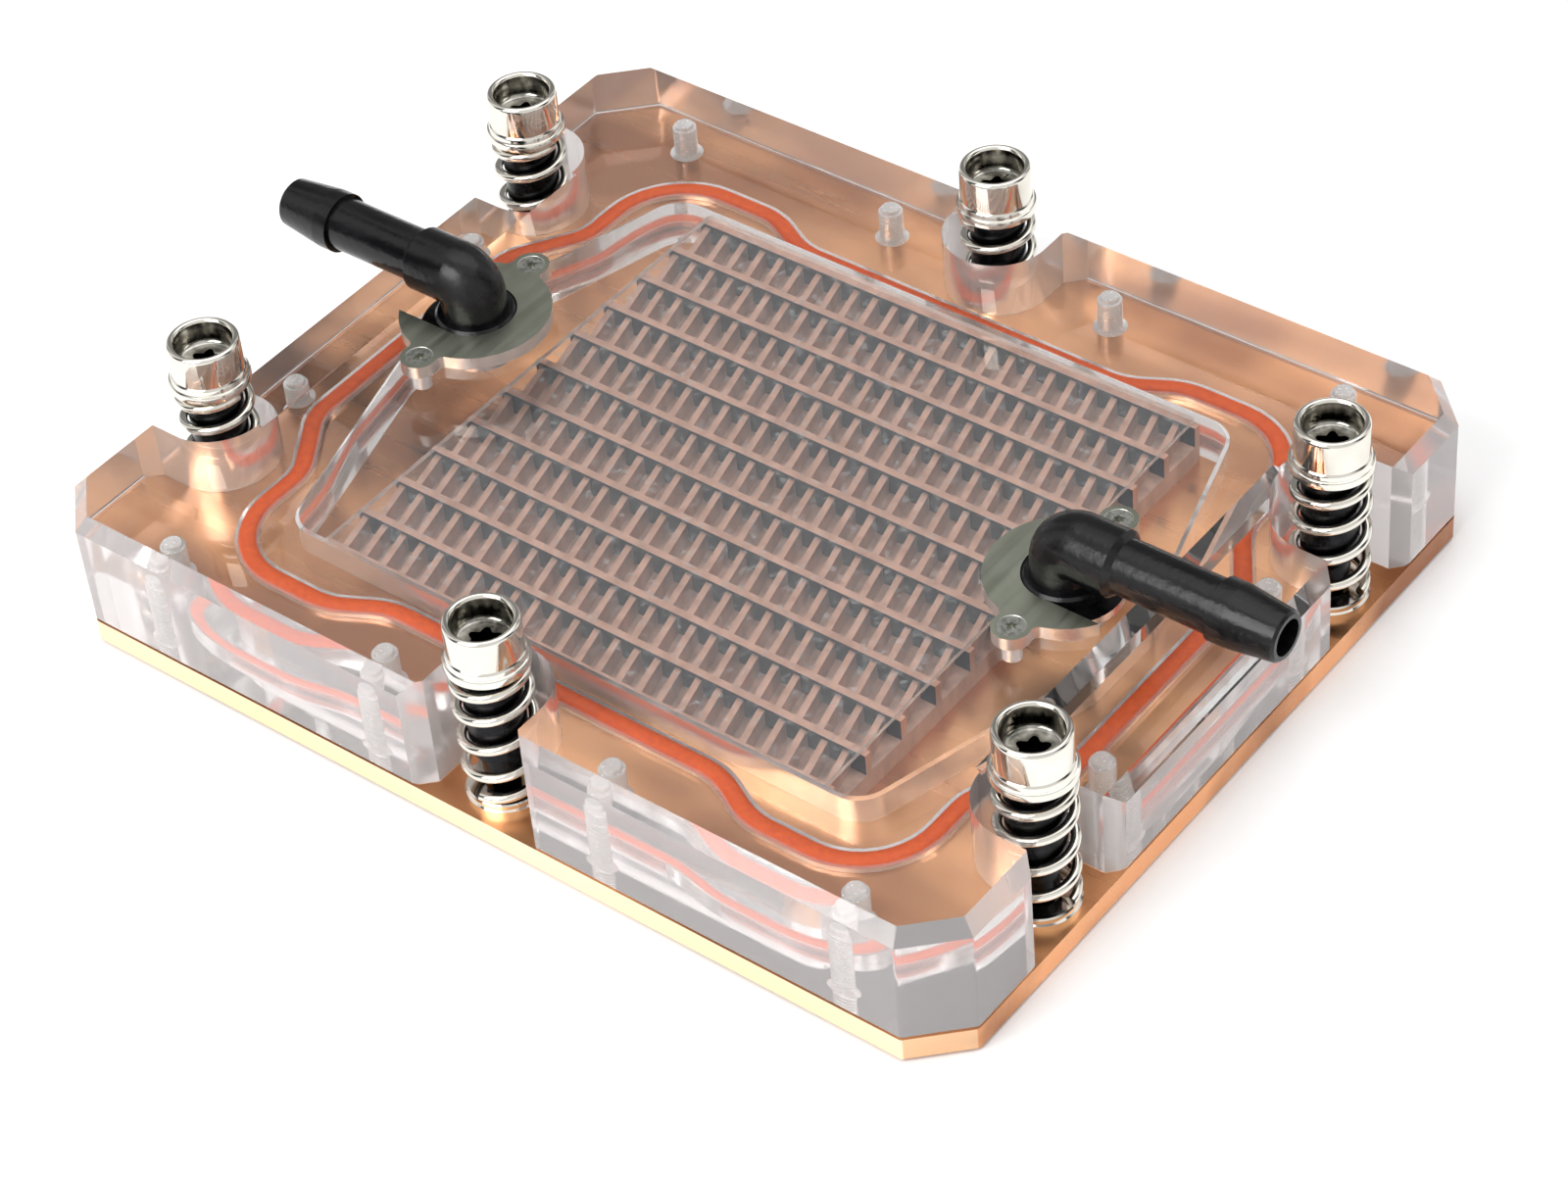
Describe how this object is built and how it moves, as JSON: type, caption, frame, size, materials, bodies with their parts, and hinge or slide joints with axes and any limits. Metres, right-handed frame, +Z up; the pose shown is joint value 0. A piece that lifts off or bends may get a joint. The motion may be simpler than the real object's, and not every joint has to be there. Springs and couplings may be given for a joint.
{
  "type": "liquid cooling cold plate",
  "caption": "Liquid cooling cold plate for a processor: copper base with fin core under a clear bolted cover, swivel hose elbows held by steel clips, and spring-loaded mounting screws.",
  "frame": {"origin": "centre of the copper contact face on the underside", "axes": "+X along the long side from the outlet elbow to the inlet elbow, +Y along the short side, +Z up from the contact face"},
  "size_m": [0.131, 0.098, 0.0266],
  "materials": {
    "copper": "satin machined copper",
    "fin_copper": "satin copper fins",
    "clear_sheet": "clear sheet",
    "clear_acrylic": "clear polished acrylic",
    "orange_silicone": "soft orange seal",
    "steel": "plain steel",
    "clip_steel": "brushed steel sheet",
    "black_plastic": "black moulded plastic",
    "black_rubber": "black seal rubber",
    "nickel": "bright nickel plate",
    "black_steel": "black steel"
  },
  "bodies": {
    "plate": {"base_plate": "copper", "fin_core": "fin_copper", "core_sheet": "clear_sheet", "cover": "clear_acrylic", "gasket": "orange_silicone", "cover_screws": "steel", "inlet_seal": "black_rubber", "outlet_seal": "black_rubber", "inlet_clip": "clip_steel", "outlet_clip": "clip_steel", "inlet_clip_screws": "steel", "outlet_clip_screws": "steel", "spring_seat_1": "nickel", "spring_seat_2": "nickel", "spring_seat_3": "nickel", "spring_seat_4": "nickel", "spring_seat_5": "nickel", "spring_seat_6": "nickel", "mount_spring_1": "nickel", "mount_spring_2": "nickel", "mount_spring_3": "nickel", "mount_spring_4": "nickel", "mount_spring_5": "nickel", "mount_spring_6": "nickel"},
    "inlet": {"inlet_elbow": "black_plastic"},
    "outlet": {"outlet_elbow": "black_plastic"},
    "carrier_1": {"screw_ring_1": "steel"},
    "screw_1": {"screw_cap_1": "nickel", "screw_shank_1": "black_steel"},
    "carrier_2": {"screw_ring_2": "steel"},
    "screw_2": {"screw_cap_2": "nickel", "screw_shank_2": "black_steel"},
    "carrier_3": {"screw_ring_3": "steel"},
    "screw_3": {"screw_cap_3": "nickel", "screw_shank_3": "black_steel"},
    "carrier_4": {"screw_ring_4": "steel"},
    "screw_4": {"screw_cap_4": "nickel", "screw_shank_4": "black_steel"},
    "carrier_5": {"screw_ring_5": "steel"},
    "screw_5": {"screw_cap_5": "nickel", "screw_shank_5": "black_steel"},
    "carrier_6": {"screw_ring_6": "steel"},
    "screw_6": {"screw_cap_6": "nickel", "screw_shank_6": "black_steel"}
  },
  "joints": [
    {"name": "inlet_swivel", "type": "hinge", "parent": "plate", "child": "inlet", "pos_m": [0.0393, 0, 0.023], "axis": [0, 0, 1], "range_deg": [-40, 40]},
    {"name": "outlet_swivel", "type": "hinge", "parent": "plate", "child": "outlet", "pos_m": [-0.0393, 0, 0.023], "axis": [0, 0, 1], "range_deg": [-40, 40]},
    {"name": "screw_1_press", "type": "slide", "parent": "plate", "child": "carrier_1", "axis": [0, 0, 1], "range_m": [-0.0045, 0], "stiffness_N_per_m": 7300, "springref_m": 0.001, "deforming": ["mount_spring_1"]},
    {"name": "screw_1_turn", "type": "hinge", "parent": "carrier_1", "child": "screw_1", "pos_m": [-0.054, -0.0265, 0.02], "axis": [0, 0, 1], "continuous": true},
    {"name": "screw_2_press", "type": "slide", "parent": "plate", "child": "carrier_2", "axis": [0, 0, 1], "range_m": [-0.0045, 0], "stiffness_N_per_m": 7300, "springref_m": 0.001, "deforming": ["mount_spring_2"]},
    {"name": "screw_2_turn", "type": "hinge", "parent": "carrier_2", "child": "screw_2", "pos_m": [-0.054, 0.0265, 0.02], "axis": [0, 0, 1], "continuous": true},
    {"name": "screw_3_press", "type": "slide", "parent": "plate", "child": "carrier_3", "axis": [0, 0, 1], "range_m": [-0.0045, 0], "stiffness_N_per_m": 7300, "springref_m": 0.001, "deforming": ["mount_spring_3"]},
    {"name": "screw_3_turn", "type": "hinge", "parent": "carrier_3", "child": "screw_3", "pos_m": [0, 0.0436, 0.02], "axis": [0, 0, 1], "continuous": true},
    {"name": "screw_4_press", "type": "slide", "parent": "plate", "child": "carrier_4", "axis": [0, 0, 1], "range_m": [-0.0045, 0], "stiffness_N_per_m": 7300, "springref_m": 0.001, "deforming": ["mount_spring_4"]},
    {"name": "screw_4_turn", "type": "hinge", "parent": "carrier_4", "child": "screw_4", "pos_m": [0.054, 0.0265, 0.02], "axis": [0, 0, 1], "continuous": true},
    {"name": "screw_5_press", "type": "slide", "parent": "plate", "child": "carrier_5", "axis": [0, 0, 1], "range_m": [-0.0045, 0], "stiffness_N_per_m": 7300, "springref_m": 0.001, "deforming": ["mount_spring_5"]},
    {"name": "screw_5_turn", "type": "hinge", "parent": "carrier_5", "child": "screw_5", "pos_m": [0, -0.0436, 0.02], "axis": [0, 0, 1], "continuous": true},
    {"name": "screw_6_press", "type": "slide", "parent": "plate", "child": "carrier_6", "axis": [0, 0, 1], "range_m": [-0.0045, 0], "stiffness_N_per_m": 7300, "springref_m": 0.001, "deforming": ["mount_spring_6"]},
    {"name": "screw_6_turn", "type": "hinge", "parent": "carrier_6", "child": "screw_6", "pos_m": [0.054, -0.0265, 0.02], "axis": [0, 0, 1], "continuous": true}
  ]
}
